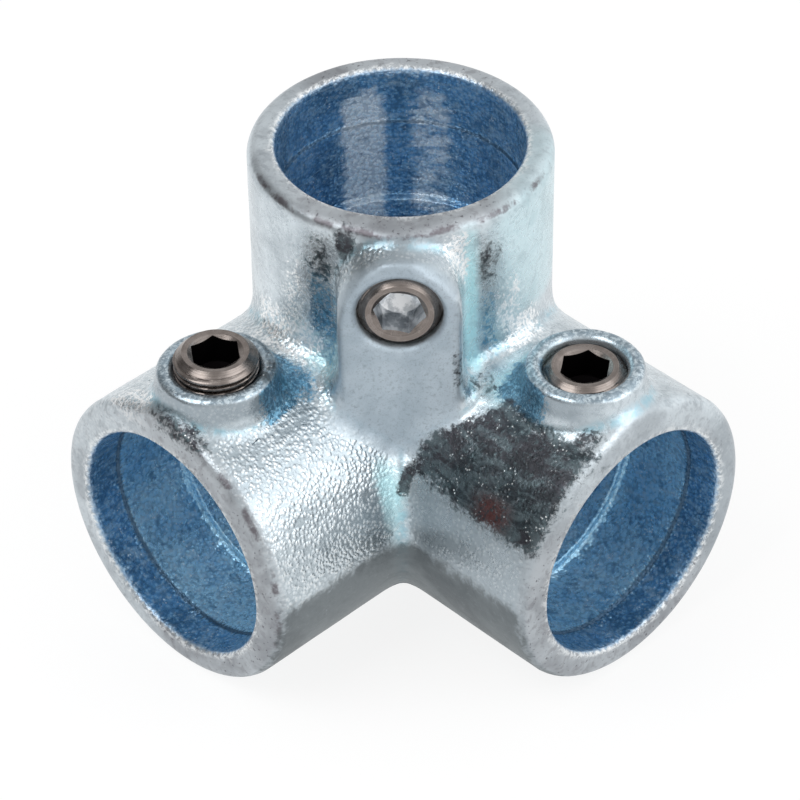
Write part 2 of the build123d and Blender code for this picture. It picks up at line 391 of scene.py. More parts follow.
def with_bores(w, zinc, colour, deep):
    """Adds the blue bores: side seats painted lighter as lit, broken streaks of painted reflection, pebbles
    painted light and shade, ripples with painted highlights, painted glints and ledges painted dark as shadow.
    """
    painted_sheen_streak = w.mask("painted_sheen_streak")
    inside = w.fleck(shaded_by(0.62, deep), deep, zinc.clouds, 0.36, 0.62)
    # Painted light: the deeper side seats painted lighter blue, as lit far walls.
    lit_seats = w.fleck((0.22, 0.50, 0.76), (0.38, 0.68, 0.88), zinc.clouds, 0.34, 0.60)
    inside = w.blend(w.mask("far"), inside, lit_seats)
    broken = w.noise(zinc.stretched(1.0, 2.4), 6 * MM, 4.0, 0.62, 0.8)
    # Painted reflection: soft broken pale streaks down the upright's bore.
    sheen_streak_share = w.step(w.plus(painted_sheen_streak, w.scaled(broken, 2.0, -1.0)), 0.20, 0.80)
    sheen_streak_share = w.times(sheen_streak_share, w.step(painted_sheen_streak, 0.02, 0.30))
    inside = w.blend(w.times(sheen_streak_share, 0.92), inside, (0.84, 0.93, 1.0))
    # Painted light and shade on the pebbles: pale tops and dark hollows.
    inside = w.fleck(inside, (0.36, 0.64, 0.86), zinc.beads, 0.45, 0.90, 0.42)
    inside = w.fleck(inside, shaded_by(0.45, deep), zinc.beads, 0.34, 0.06, 0.45)
    # Painted highlights along the ripples.
    inside = w.fleck(inside, (0.46, 0.66, 0.80), zinc.ripples, 0.52, 0.60, 0.30)
    flecks = w.times(w.step(zinc.mottle, 0.46, 0.58), 0.50)
    inside = w.fleck(inside, (0.46, 0.62, 0.72), zinc.flakes, 0.50, 0.60, flecks)
    inside = w.fleck(inside, shaded_by(0.4, deep), zinc.mottle, 0.46, 0.32, 0.55)
    # Painted glints: pale specks.
    inside = w.blend(w.times(zinc.painted_sparkle, 0.8), inside, (0.85, 0.92, 0.95))
    # Painted shadow: the ledges behind the mouths painted dark, less dark in the painted reflection streaks.
    ledge = w.blend(painted_sheen_streak, (0.018, 0.06, 0.12), (0.12, 0.17, 0.23))
    inside = w.fleck(inside, ledge, w.mask("seam"), 0.25, 0.75, 0.9)
    return w.blend(w.mask("bore"), colour, inside)


def zinc_roughness(w, zinc):
    rough = w.scaled(zinc.mottle, 0.24, 0.16)
    rough = w.scaled(w.mask("rim"), 0.20, rough)
    rough = w.scaled(w.mask("flat"), 0.30, rough)
    rough = w.scaled(w.mask("painted_shine"), -0.12, rough)
    return w.scaled(w.mask("painted_underside_shade"), 0.22, rough, clamp=True)


def zinc_height(w, zinc):
    """Height of the fine pebbles, flakes and ripples, for the bump alone."""
    height = w.times(zinc.beads, w.scaled(w.mask("pebble"), 0.70, 0.02))
    inner = w.scaled(zinc.beads, 0.75, w.times(zinc.ripples, 1.5))
    height = w.scaled(inner, w.mask("bore"), height)
    stained = w.plus(w.mask("tarnish"), w.mask("blue"))
    lit = w.plus(w.mask("painted_shine"), w.mask("cyan_sheen"))
    flaky = w.scaled(w.plus(stained, lit, clamp=True), 1.0, 0.25)
    height = w.scaled(zinc.flakes, flaky, height)
    height = w.scaled(zinc.grain, 0.10, height)
    return w.scaled(zinc.mottle, 0.35, height)


def zinc_metal(w):
    """How metallic the zinc is: less in the bores, their streaks of painted reflection and the pale blue strips
    painted as a reflection.
    """
    metal = w.scaled(w.mask("bore"), -0.35, 0.85)
    metal = w.scaled(w.mask("painted_sheen_streak"), -0.35, metal)
    return w.scaled(w.mask("cyan_sheen"), -0.55, metal, clamp=True)


def galvanised_material(settings):
    """Hot-dip galvanising over cast iron, steered by the casting's own masks."""
    material, w, out = new_material("galvanised_zinc")
    zinc = Zinc(w)
    colour = cast_colour(w, zinc, settings)
    colour = with_faces(w, zinc, colour)
    colour = with_rims(w, zinc, colour)
    colour = with_underside_shade(w, zinc, colour)
    colour = with_tarnish(w, zinc, colour, tuple(settings.tarnish_colour))
    colour = with_bores(w, zinc, colour, tuple(settings.bore_colour))
    bump = w.node("ShaderNodeBump")
    bump.inputs["Strength"].default_value = 0.8
    bump.inputs["Distance"].default_value = 0.16 * MM
    w.feed(bump.inputs["Height"], zinc_height(w, zinc))
    shader = w.node("ShaderNodeBsdfPrincipled")
    w.feed(shader.inputs["Metallic"], zinc_metal(w))
    w.feed(shader.inputs["Base Color"], colour)
    w.feed(shader.inputs["Roughness"], zinc_roughness(w, zinc))
    w.feed(shader.inputs["Normal"], bump.outputs["Normal"])
    w.feed(out.inputs["Surface"], shader.outputs["BSDF"])
    return material


def steel_material(settings):
    """Satin turned steel with fine rings about each screw's own axis, and a key socket with painted shade, black
    in the side screws and painted pale as lit in the upright one.
    """
    material, w, out = new_material("satin_steel")
    place = w.node("ShaderNodeTexCoord").outputs["Object"]
    ring, socket = w.mask("ring"), w.mask("key_socket")
    joined = w.node("ShaderNodeCombineXYZ")
    w.feed(joined.inputs["X"], ring)
    turned = w.noise(joined.outputs[0], 0.16 * MM, 3.0, 0.6)
    smear = w.noise(place, 2.2 * MM, 4.0, 0.6)

    steel = tuple(settings.steel_colour)
    colour = w.fleck(shaded_by(0.78, steel), shaded_by(1.18, steel), turned, 0.35, 0.65)
    smeared = w.blend(1.0, colour, (0.8, 0.79, 0.78), "MULTIPLY")
    colour = w.fleck(smeared, colour, smear, 0.40, 0.62)
    # Painted light: pale socket walls, and painted shade: black walls, mixed by each screw's share of shade.
    bright = w.blend(w.step(smear, 0.42, 0.58), (0.50, 0.53, 0.56), (0.90, 0.92, 0.94))
    socket_light_and_shade = w.blend(w.mask("painted_socket_shade"), bright, (0.006, 0.005, 0.0055))
    colour = w.blend(socket, colour, socket_light_and_shade)
    bump = w.node("ShaderNodeBump")
    bump.inputs["Strength"].default_value = 0.35
    bump.inputs["Distance"].default_value = 0.04 * MM
    w.feed(bump.inputs["Height"], turned)

    shader = w.node("ShaderNodeBsdfPrincipled")
    shader.inputs["Metallic"].default_value = 1.0
    w.feed(shader.inputs["Base Color"], colour)
    rough = w.scaled(smear, 0.22, 0.15)
    rough = w.scaled(w.times(socket, w.mask("painted_socket_shade")), 0.4, rough)
    w.feed(shader.inputs["Roughness"], rough)
    w.feed(shader.inputs["Normal"], bump.outputs["Normal"])
    w.feed(out.inputs["Surface"], shader.outputs["BSDF"])
    return material


def floor_material(settings):
    """Matte floor that is white to the eye and in reflections, keeps a shadow, and is clear from below."""
    material, w, out = new_material("pale_floor")
    matte = w.node("ShaderNodeBsdfDiffuse")
    w.feed(matte.inputs["Color"], tuple(settings.floor_colour))
    glow = w.node("ShaderNodeEmission")
    glow.inputs["Strength"].default_value = 1.06
    seen = w.node("ShaderNodeLightPath")
    direct = w.sum("MAXIMUM", seen.outputs["Is Camera Ray"], seen.outputs["Is Glossy Ray"])
    direct = w.sum("MAXIMUM", direct, seen.outputs["Is Transmission Ray"])
    lit = w.node("ShaderNodeMixShader")
    w.feed(lit.inputs[0], w.times(direct, 0.8))
    w.feed(lit.inputs[1], matte.outputs[0])
    w.feed(lit.inputs[2], glow.outputs[0])
    sided = w.node("ShaderNodeMixShader")
    w.feed(sided.inputs[0], w.node("ShaderNodeNewGeometry").outputs["Backfacing"])
    w.feed(sided.inputs[1], lit.outputs[0])
    w.feed(sided.inputs[2], w.node("ShaderNodeBsdfTransparent").outputs[0])
    w.feed(out.inputs["Surface"], sided.outputs[0])
    return material


# ---------------------------------------------------------------- Geometry Nodes

def tree_with_inputs(name, inputs):
    """A geometry tree with a Geometry input and output and the named inputs; returns it wired to start."""
    tree = bpy.data.node_groups.new(name, "GeometryNodeTree")
    tree.interface.new_socket("Geometry", in_out="INPUT", socket_type="NodeSocketGeometry")
    for title, kind, value in inputs:
        socket = tree.interface.new_socket(title, in_out="INPUT", socket_type=kind)
        if value is not None:
            socket.default_value = value
    tree.interface.new_socket("Geometry", in_out="OUTPUT", socket_type="NodeSocketGeometry")
    wiring = Wiring(tree)
    return wiring, wiring.node("NodeGroupInput").outputs, wiring.node("NodeGroupOutput").inputs


def finish_tree(w, shape, given, result):
    """Ends a tree in Realize Instances and Set Material."""
    real = w.node("GeometryNodeRealizeInstances")
    painted = w.node("GeometryNodeSetMaterial")
    w.feed(real.inputs["Geometry"], shape)
    w.feed(painted.inputs["Geometry"], real.outputs["Geometry"])
    w.feed(painted.inputs["Material"], given["Material"])
    w.feed(result["Geometry"], painted.outputs["Geometry"])


def galvanise_tree():
    """Waves a surface as cast iron under a thick coat of zinc."""
    w, given, result = tree_with_inputs("galvanise", (
        ("Lump Size", "NodeSocketFloat", 0.009),
        ("Lump Height", "NodeSocketFloat", 0.0001),
        ("Run Size", "NodeSocketFloat", 0.003),
        ("Run Height", "NodeSocketFloat", 0.0001),
        ("Seed", "NodeSocketInt", 0),
        ("Material", "NodeSocketMaterial", None),
    ))
    place = w.node("GeometryNodeInputPosition").outputs[0]
    share = w.node("GeometryNodeInputNamedAttribute", data_type="FLOAT")
    share.inputs["Name"].default_value = "pebble"
    rise = None
    for size, height, lift in (("Lump Size", "Lump Height", 0.35), ("Run Size", "Run Height", 0.15)):
        field = w.node("ShaderNodeTexNoise", noise_dimensions="4D")
        w.feed(field.inputs["Vector"], place)
        w.feed(field.inputs["W"], given["Seed"])
        w.feed(field.inputs["Scale"], w.sum("DIVIDE", 1.0, given[size]))
        field.inputs["Detail"].default_value = 2.0
        wave = w.times(w.sum("SUBTRACT", field.outputs[0], 0.5), given[height])
        wave = w.times(wave, w.scaled(share.outputs[0], 1.0 - lift, lift))
        rise = wave if rise is None else w.plus(rise, wave)
    push = w.node("ShaderNodeVectorMath", operation="SCALE")
    w.feed(push.inputs[0], w.node("GeometryNodeInputNormal").outputs[0])
    w.feed(push.inputs["Scale"], w.times(rise, 2.0))
    moved = w.node("GeometryNodeSetPosition")
    w.feed(moved.inputs["Geometry"], given["Geometry"])
    w.feed(moved.inputs["Offset"], push.outputs[0])
    finish_tree(w, moved.outputs["Geometry"], given, result)
    return w.tree


def thread_tree():
    """Cuts a helical thread into a round bar that stands along Z, running out at both ends."""
    w, given, result = tree_with_inputs("cut_thread", (
        ("Pitch", "NodeSocketFloat", 0.001),
        ("Depth", "NodeSocketFloat", 0.0005),
        ("Crest Radius", "NodeSocketFloat", 0.008),
        ("Material", "NodeSocketMaterial", None),
    ))
    place = w.node("GeometryNodeInputPosition").outputs[0]
    apart = w.node("ShaderNodeSeparateXYZ")
    w.feed(apart.inputs[0], place)
    east, north, up = apart.outputs
    turn = w.sum("DIVIDE", w.sum("ARCTAN2", north, east), 2 * math.pi)
    phase = w.sum("FRACT", w.sum("SUBTRACT", w.sum("DIVIDE", up, given["Pitch"]), turn))
    ridge = w.sum("ABSOLUTE", w.scaled(phase, 2.0, -1.0))
    flank = w.step(ridge, 0.34, 0.96)
    flat_place = w.node("ShaderNodeCombineXYZ")
    w.feed(flat_place.inputs["X"], east)
    w.feed(flat_place.inputs["Y"], north)
    radius = w.node("ShaderNodeVectorMath", operation="LENGTH")
    w.feed(radius.inputs[0], flat_place.outputs[0])
    floor = w.sum("SUBTRACT", given["Crest Radius"], w.times(flank, given["Depth"]))
    cut = w.sum("MAXIMUM", w.sum("SUBTRACT", radius.outputs["Value"], floor), 0.0)
    inward = w.vector("NORMALIZE", flat_place.outputs[0])
    push = w.node("ShaderNodeVectorMath", operation="SCALE")
    w.feed(push.inputs[0], inward)
    w.feed(push.inputs["Scale"], w.times(cut, -1.0))
    moved = w.node("GeometryNodeSetPosition")
    share = w.node("GeometryNodeInputNamedAttribute", data_type="FLOAT")
    share.inputs["Name"].default_value = "outside"
    chosen = w.node("FunctionNodeCompare", data_type="FLOAT", operation="GREATER_THAN")
    w.feed(chosen.inputs[0], share.outputs[0])
    chosen.inputs[1].default_value = 0.5
    w.feed(moved.inputs["Geometry"], given["Geometry"])
    w.feed(moved.inputs["Selection"], chosen.outputs[0])
    w.feed(moved.inputs["Offset"], push.outputs[0])
    finish_tree(w, moved.outputs["Geometry"], given, result)
    return w.tree


def grown(mesh, name, tree, values):
    """The mesh that a geometry tree makes of another, as a plain mesh without the modifier."""
    holder = bpy.data.objects.new("holder", mesh)
    bpy.context.scene.collection.objects.link(holder)
    modifier = holder.modifiers.new(tree.name, "NODES")
    modifier.node_group = tree
    for item in tree.interface.items_tree:
        if item.in_out == "INPUT" and item.name in values:
            modifier[item.identifier] = values[item.name]
    ready = holder.evaluated_get(bpy.context.evaluated_depsgraph_get())
    plain = bpy.data.meshes.new_from_object(ready)
    plain.name = name
    bpy.data.objects.remove(holder)
    bpy.data.meshes.remove(mesh)
    return plain


def thinned(mesh, most, may_go):
    """A plain triangle mesh with no more triangles than asked, which loses only the points that may go."""
    holder = bpy.data.objects.new("holder", mesh)
    bpy.context.scene.collection.objects.link(holder)
    group = holder.vertex_groups.new(name="may_go")
    group.add(np.flatnonzero(may_go).tolist(), 1.0, "REPLACE")
    modifier = holder.modifiers.new("thin", "DECIMATE")
    modifier.ratio = min(1.0, most / len(mesh.polygons))
    modifier.vertex_group = group.name
    ready = holder.evaluated_get(bpy.context.evaluated_depsgraph_get())
    plain = bpy.data.meshes.new_from_object(ready)
    plain.name = mesh.name + "_thinned"
    bpy.data.objects.remove(holder)
    bpy.data.meshes.remove(mesh)
    return plain


def shown(mesh, name, body, nodes):
    """Puts a finished mesh in the scene, riding on its body in place of its CAD nodes."""
    piece = bpy.data.objects.new(name, mesh)
    bpy.context.scene.collection.objects.link(piece)
    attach(piece, body)
    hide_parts(*nodes)
    return piece


def set_mask(mesh, name, values):
    """Stores one number a vertex under a name that the material reads."""
    layer = mesh.attributes.new(name, "FLOAT", "POINT")
    layer.data.foreach_set("value", np.asarray(values, dtype=np.float32))


def ease(value, low, high):
    """0 below low, 1 above high and smooth between; low may lie above high."""
    share = np.clip((value - low) / (high - low), 0.0, 1.0)
    return share * share * (3.0 - 2.0 * share)


# ---------------------------------------------------------------- casting

def refined_copy(node, longest):
    """A merged copy of a CAD node's mesh, cut until no edge is longer than asked."""
    work = bmesh.new()
    work.from_mesh(frame["nodes"][node].data)
    bmesh.ops.remove_doubles(work, verts=work.verts, dist=1e-6)
    bmesh.ops.triangulate(work, faces=work.faces)
    for _ in range(9):
        long_edges = [edge for edge in work.edges if edge.calc_length() > longest]
        if not long_edges:
            break
        bmesh.ops.subdivide_edges(work, edges=long_edges, cuts=1)
        bmesh.ops.triangulate(work, faces=[face for face in work.faces if len(face.verts) > 3])
    mesh = bpy.data.meshes.new(node + "_fine")
    work.to_mesh(mesh)
    work.free()
    return mesh


def read_points(mesh):
    points = np.empty(len(mesh.vertices) * 3)
    mesh.vertices.foreach_get("co", points)
    return points.reshape(-1, 3)


def write_points(mesh, points):
    mesh.vertices.foreach_set("co", points.ravel())
    mesh.update()


# A point up to the second depth below a cylinder lies on one of its flat facets, one below the
# first depth doesn't.
SAG_LIMITS = (0.050 * MM, 0.038 * MM)


def rounded_out(points, settings):
    """Lifts the points of flat facets onto the cylinders and spheres that the facets stand for."""
    centre = np.array(MEETING_POINT)
    raised = centre + (0.0, 0.0, settings.side_raise)
    upright = SEAT_RADIUS + settings.upright_wall
    relief = SEAT_RADIUS + settings.relief_step
    stop = SEAT_RADIUS - settings.stop_step
    forms = [(centre, axis, radius) for axis in range(3) for radius in (SEAT_RADIUS, relief, stop)]
    forms += [(raised, 0, SIDE_RADIUS), (raised, 1, SIDE_RADIUS), (centre, 2, upright)]
    forms += [(raised, None, SIDE_RADIUS), (centre, None, SEAT_RADIUS)]
    for origin, axis, radius in forms:
        arm = points - origin
        if axis is not None:
            arm[:, axis] = 0.0
        reach = np.maximum(np.linalg.norm(arm, axis=1), 1e-9)
        short = radius - reach
        share = np.where(short > 0, ease(short, *SAG_LIMITS), 0.0)
        points += arm * (share * short / reach)[:, None]
    return points


def softened(mesh, points, share, rounds):
    """Relaxes points towards the middle of their neighbours, each by its own share."""
    pairs = np.empty(len(mesh.edges) * 2, dtype=np.int32)
    mesh.edges.foreach_get("vertices", pairs)
    first, second = pairs.reshape(-1, 2).T
    count = np.bincount(pairs, minlength=len(points))
    for _ in range(rounds):
        middle = np.stack([
            np.bincount(first, points[second, axis], len(points))
            + np.bincount(second, points[first, axis], len(points))
            for axis in range(3)
        ], axis=1) / count[:, None]
        points += 0.5 * share[:, None] * (middle - points)
    return points


# Patches of the zinc: centre and half size along X, Y and Z in millimetres from where the axes meet,
# and strength.
PATCHES = {
    "tarnish": (
        ((63.4, 3.5, 31.0), (1.6, 6.5, 2.2), 0.75),
        ((27.4, 12.5, 60.8), (1.8, 1.8, 3.2), 0.95),
        ((29.3, 7.4, 56.0), (2.0, 2.8, 5.0), 0.52),
        ((28.5, 11.9, 54.4), (2.2, 2.2, 4.4), 0.52),
        ((44.0, 8.8, 37.2), (3.6, 2.6, 1.2), 0.50),
        ((5.0, 29.7, 53.5), (2.8, 1.6, 4.6), 0.52),
        ((29.2, 30.4, 13.4), (1.8, 1.1, 5.6), 0.90),
        ((11.8, 34.6, 29.6), (2.6, 2.6, 1.8), 0.50),
        ((18.0, 34.6, 36.5), (1.2, 1.2, 4.5), 0.50),
        ((10.6, 60.5, 30.2), (5.0, 2.6, 1.2), 0.60),
    ),
    # Duller zinc and painted shade.
    "dull_and_shade": (
        ((22.0, 21.8, 61.2), (6.5, 6.5, 3.4), 0.9),
        ((36.0, 31.0, 9.0), (2.8, 2.4, 9.0), 1.0),
        ((28.0, 11.5, 56.5), (2.6, 2.6, 3.6), 0.9),
    ),
    "blue": (
        ((37.8, 7.0, 31.0), (3.6, 5.0, 3.6), 0.80),
        ((29.1, 7.9, 41.8), (2.0, 4.2, 9.4), 0.64),
        ((8.5, 40.2, 31.0), (3.8, 2.4, 3.4), 0.95),
        ((5.0, 29.9, 39.5), (2.0, 1.6, 8.5), 0.42),
    ),
    # Painted reflection: pale cyan strips.
    "cyan_sheen": (
        ((9.7, 28.9, 45.5), (1.6, 2.2, 14.5), 1.0),
        ((6.5, 40.0, 31.5), (6.0, 4.0, 4.0), 0.75),
        ((32.3, 29.0, 11.0), (2.0, 2.2, 11.0), 0.80),
        ((29.3, 6.0, 33.0), (3.0, 6.0, 4.0), 0.5),
    ),
    # Painted highlights: white glints on fillets and ridges.
    "painted_shine": (
        ((31.0, -0.5, 33.8), (3.2, 6.5, 2.8), 1.2),
        ((31.0, -5.0, 34.0), (3.0, 5.0, 2.6), 1.1),
        ((63.0, -10.5, 29.6), (2.6, 5.5, 2.6), 0.9),
        ((30.2, 1.4, 40.0), (1.8, 3.2, 8.5), 0.75),
        ((12.9, 28.0, 57.5), (2.4, 2.4, 4.2), 0.95),
        ((-3.0, 31.0, 33.6), (4.5, 2.4, 2.2), 1.0),
        ((0.5, 30.3, 40.5), (3.0, 1.5, 5.5), 0.55),
    ),
    "rust": (
        ((26.2, 51.5, 16.0), (2.0, 3.6, 2.6), 1.0),
    ),
}


def patch_mask(place, patches):
    """Strongest of the patches at each point, each fading out about its half size."""
    total = np.zeros(len(place))
    for centre, half_size, strength in patches:
        away = (np.abs((place - centre) / half_size) ** 3).sum(axis=1) ** (1 / 3)
        total = np.maximum(total, strength * ease(away, 1.85, 0.40))
    return total


class Survey:
    """Where the points lie from the meeting point, the tubes, the bosses, the pad and the screws."""

    def __init__(self, points, settings):
        self.place = points - np.array(MEETING_POINT)
        self.station = east, north, up = self.place.T
        self.reach = (np.hypot(north, up), np.hypot(east, up), np.hypot(east, north))
        self.outward = (east + north) / math.sqrt(2)
        self.across = (north - east) / math.sqrt(2)
        self.bearing = np.degrees(np.arctan2(north, east))
        self.relief = SEAT_RADIUS + settings.relief_step
        self.upright = SEAT_RADIUS + settings.upright_wall
        self.half = settings.face_width / 2
        self.level = settings.face_height
        self.screw = settings.screw_station
        self.boss_x = np.hypot(east - self.screw, north)
        self.boss_y = np.hypot(east, north - self.screw)
        self.boss_z = np.hypot(self.across, up - self.screw)
        self.pad_side = np.where(up > self.screw, self.boss_z, np.abs(self.across)) - self.half
        self.on_upright = ease(up, 33 * MM, 38 * MM) * (self.reach[2] < self.upright + 1.2 * MM)


def cast_share(s, bore):
    """1 on the as-cast outside, 0 in the bores, at the mouths and round the tapped holes."""
    share = 1.0 - bore
    for along in s.station:
        share *= ease(along, ARM_LENGTH - 3.0 * MM, ARM_LENGTH - 4.5 * MM)
    for away in (s.boss_x, s.boss_y, s.boss_z):
        share *= ease(away, DRILL_REACH, DRILL_REACH + 1.2 * MM)
    return share


def mouth_masks(s):
    """The bores, the rims round the mouths, their lips, where a highlight is painted, and their worn outer edges.
    """
    east, north, up = s.station
    bore = ease(np.linalg.norm(s.place, axis=1), SEAT_RADIUS + 0.9 * MM, SEAT_RADIUS + 0.2 * MM)
    rim, lip, brink = np.zeros((3, len(up)))
    fronts = (
        ease(north, -3 * MM, 4 * MM) * ease(up, -14 * MM, -6 * MM),
        0.5 * ease(east, 12 * MM, 18 * MM),
        ease(east + north, 8 * MM, 20 * MM),
    )
    # Painted light: the rims keep less of their grey on these sides, which stay paler as if lit.
    painted_lit_sides = (
        1 - 0.50 * ease(north, -2 * MM, -10 * MM),
        1 - 0.60 * ease(up, 12 * MM, 24 * MM) - 0.60 * ease(east, -16 * MM, -26 * MM),
        1 - 0.60 * ease(np.abs(north - east), 22 * MM, 34 * MM),
    )
    for away, along, front_side, painted_lit_side in zip(s.reach, s.station, fronts, painted_lit_sides):
        inside = ease(away, s.relief + 0.25 * MM, s.relief + 0.05 * MM) * (along > 0)
        inside *= ease(along, ARM_LENGTH - 0.35 * MM, ARM_LENGTH - 0.75 * MM)
        bore = np.maximum(bore, inside)
        edge = 0.45 * ease(along, ARM_LENGTH - 3.2 * MM, ARM_LENGTH - 1.6 * MM)
        edge += 0.55 * ease(along, ARM_LENGTH - 1.1 * MM, ARM_LENGTH - 0.3 * MM)
        rim = np.maximum(rim, edge * (away > s.relief - 0.1 * MM) * painted_lit_side)
        # The lips at the mouths, which get a painted white highlight.
        front = (along > ARM_LENGTH - 0.8 * MM) * ease(away, s.relief + 1.0 * MM, s.relief + 0.5 * MM)
        lip = np.maximum(lip, front * (away > s.relief - 0.1 * MM))
        edge = ease(np.abs(along - ARM_LENGTH + 1.0 * MM), 1.1 * MM, 0.1 * MM)
        brink = np.maximum(brink, edge * (away > s.relief + 2 * MM) * front_side)
    return bore, rim, lip, brink


def blend_mask(s, side_raise):
    """1 in the hollow blends, which lie outside all of the casting's plain forms."""
    east, north, up = s.station
    raised = s.place - (0.0, 0.0, side_raise)
    gaps = np.stack((
        np.maximum(np.hypot(raised[:, 1], raised[:, 2]) - SIDE_RADIUS, -east),
        np.maximum(np.hypot(raised[:, 0], raised[:, 2]) - SIDE_RADIUS, -north),
        np.maximum(s.reach[2] - s.upright, -up),
        np.linalg.norm(raised, axis=1) - SIDE_RADIUS,
        np.maximum(s.boss_x - s.half, up - s.level),
        np.maximum(s.boss_y - s.half, up - s.level),
        np.maximum(s.pad_side, s.outward - s.level),
    ))
    return ease(gaps.min(axis=0), 0.03 * MM, 0.9 * MM)


def face_masks(s):
    """The smooth pad, its soft edges and the worked faces of the bosses."""
    up = s.station[2]
    soft_edge = np.where((s.across > 0) & (up < s.screw + 4 * MM), 0.3 * MM, 3.0 * MM)
    flat = ease(np.abs(s.outward - s.level), 3.0 * MM, 0.6 * MM) * ease(s.pad_side, soft_edge, -1.4 * MM)
    pad_edge = ease(np.abs(s.pad_side), 5.5 * MM, 2.5 * MM)
    pad_edge *= ease(s.outward, s.level - 9 * MM, s.level - 6 * MM)
    pad_edge *= ease(soft_edge, 0.5 * MM, 2.5 * MM)
    boss_face = ease(np.abs(up - s.level), 0.8 * MM, 0.3 * MM) * (np.minimum(s.boss_x, s.boss_y) < s.half)
    return flat, pad_edge, boss_face


def bore_masks(s):
    """Inside the bores: the ledges behind the mouths, painted dark as shadow, the side seats, painted lighter as
    lit, and the upright's streaks of painted reflection.
    """
    up = s.station[2]
    ledges, lit_seats = [], []
    # The ledges, where a dark shadow line is painted.
    for along, away, depth, share in zip(s.station, s.reach, RELIEF_DEPTHS, (1.0, 1.0, 0.8)):
        ledge = ease(np.abs(along - ARM_LENGTH + depth), 0.7 * MM, 0.15 * MM)
        ledges.append(ledge * (away < s.relief + 0.2 * MM) * share)
    # The deeper side seats, which are painted lighter as lit.
    for along, away, depth in zip(s.station[:2], s.reach[:2], RELIEF_DEPTHS):
        seat = ease(along, ARM_LENGTH - depth + 0.3 * MM, ARM_LENGTH - depth - 0.3 * MM)
        lit_seats.append(seat * (along > 20 * MM) * (away < s.relief + 0.3 * MM))
    low_end = ease(up, ARM_LENGTH - 2 * MM, ARM_LENGTH - 9 * MM) * (up > 0)
    low_end *= s.reach[2] < s.relief + 0.1 * MM
    # Where the upright's bore gets streaks of painted reflection.
    painted_sheen_streak = np.maximum(ease(np.abs(s.bearing + 116), 15, 5), 0.55 * ease(np.abs(s.bearing + 149), 15, 5))
    return np.maximum.reduce(ledges), np.maximum.reduce(lit_seats), painted_sheen_streak * low_end


def underside_shade_mask(s):
    """Painted shade on the underside: full in the corner between the side sockets, weaker elsewhere."""
    east, north, up = s.station
    corner = ease(np.minimum(east, north), 10 * MM, 24 * MM)
    return corner * ease(up, 4.0 * MM, -2.5 * MM) + 0.42 * (1 - corner) * ease(up, 0.0 * MM, -26 * MM)


def pebble_mask(s, bore, rim, flat):
    """How rough the zinc is: most on the sides, least on the upright, the bosses and the rims."""
    east, north, up = s.station
    on_side = 0.28 + 0.72 * ease(east - north, -6 * MM, 8 * MM)
    near, far = s.half + 1 * MM, s.half + 4 * MM
    boss = np.maximum(ease(s.boss_x, far, near), ease(s.boss_y, far, near))
    boss *= up > 30 * MM
    pebble = on_side * (1 - 0.85 * s.on_upright) * (1 - 0.8 * boss) * (1 - 0.9 * rim) * (1 - flat)
    pebble *= (1 - 0.6 * bore) * (0.15 + 0.85 * ease(up, -1 * MM, 3 * MM))
    return pebble


def dull_and_shade_mask(s, boss_face):
    """Painted shade in the dull zinc colour: the +Y side low down, the bosses' sides, less on the lit side of the
    +Y boss, and the +X barrel's top.
    """
    east, north, up = s.station
    nearest = np.minimum(s.boss_x, s.boss_y)
    dull_and_shade = 0.85 * ease(north - east, -2 * MM, 8 * MM) * ease(up, 20 * MM, 14 * MM)
    boss_side = ease(nearest, s.half + 4 * MM, s.half + 1.5 * MM) * ease(up, 31 * MM, 33 * MM)
    lit_side = ease(north - s.screw, 6 * MM, 11 * MM) * (north > east)
    dull_and_shade = np.maximum(dull_and_shade, boss_side * (1 - 0.9 * lit_side) * (1 - boss_face))
    top_side = 0.55 * ease(up, 20 * MM, 25 * MM) * ease(up, 33 * MM, 30 * MM) * ease(east, 34 * MM, 40 * MM)
    return np.maximum(dull_and_shade, top_side * (north > 0))


def crescent_mask(s, boss_face):
    """Deep blue crescents at the foot of each boss, where it faces the upright socket."""
    east, north, up = s.station
    foot = ease(up, 28.5 * MM, 29.5 * MM) * (1 - boss_face)
    crescent_x = ease(s.boss_x, s.half + 5.0 * MM, s.half + 2.5 * MM)
    crescent_x = crescent_x * ease(s.screw - east, -1 * MM, 3 * MM) * ease(north, -1 * MM, 3 * MM)
    crescent_y = ease(s.boss_y, s.half + 4.0 * MM, s.half + 1.5 * MM)
    crescent_y = crescent_y * ease(s.screw - north, -3 * MM, 2 * MM) * ease(east, 2 * MM, 6 * MM)
    return foot * np.maximum(crescent_x, crescent_y)


def slate_mask(s):
    """The dark slab of thin zinc on the inner side of the +Y barrel."""
    east, north, up = s.station
    bound = 18.3 * MM + 0.83 * (north - 26.9 * MM)
    slate = ease(up, 11.4 * MM, 16.4 * MM) * ease(up - bound, 1.8 * MM, -1.8 * MM)
    slate *= ease(up, 31.4 * MM, 27.8 * MM)
    slate *= ease(north, 28.4 * MM, 31.2 * MM) * ease(north, 66.0 * MM, 62.0 * MM) * (east > 5 * MM)
    slate *= 1 - 0.45 * ease(north, 46 * MM, 34 * MM) * ease(up, 20 * MM, 14 * MM)
    return slate


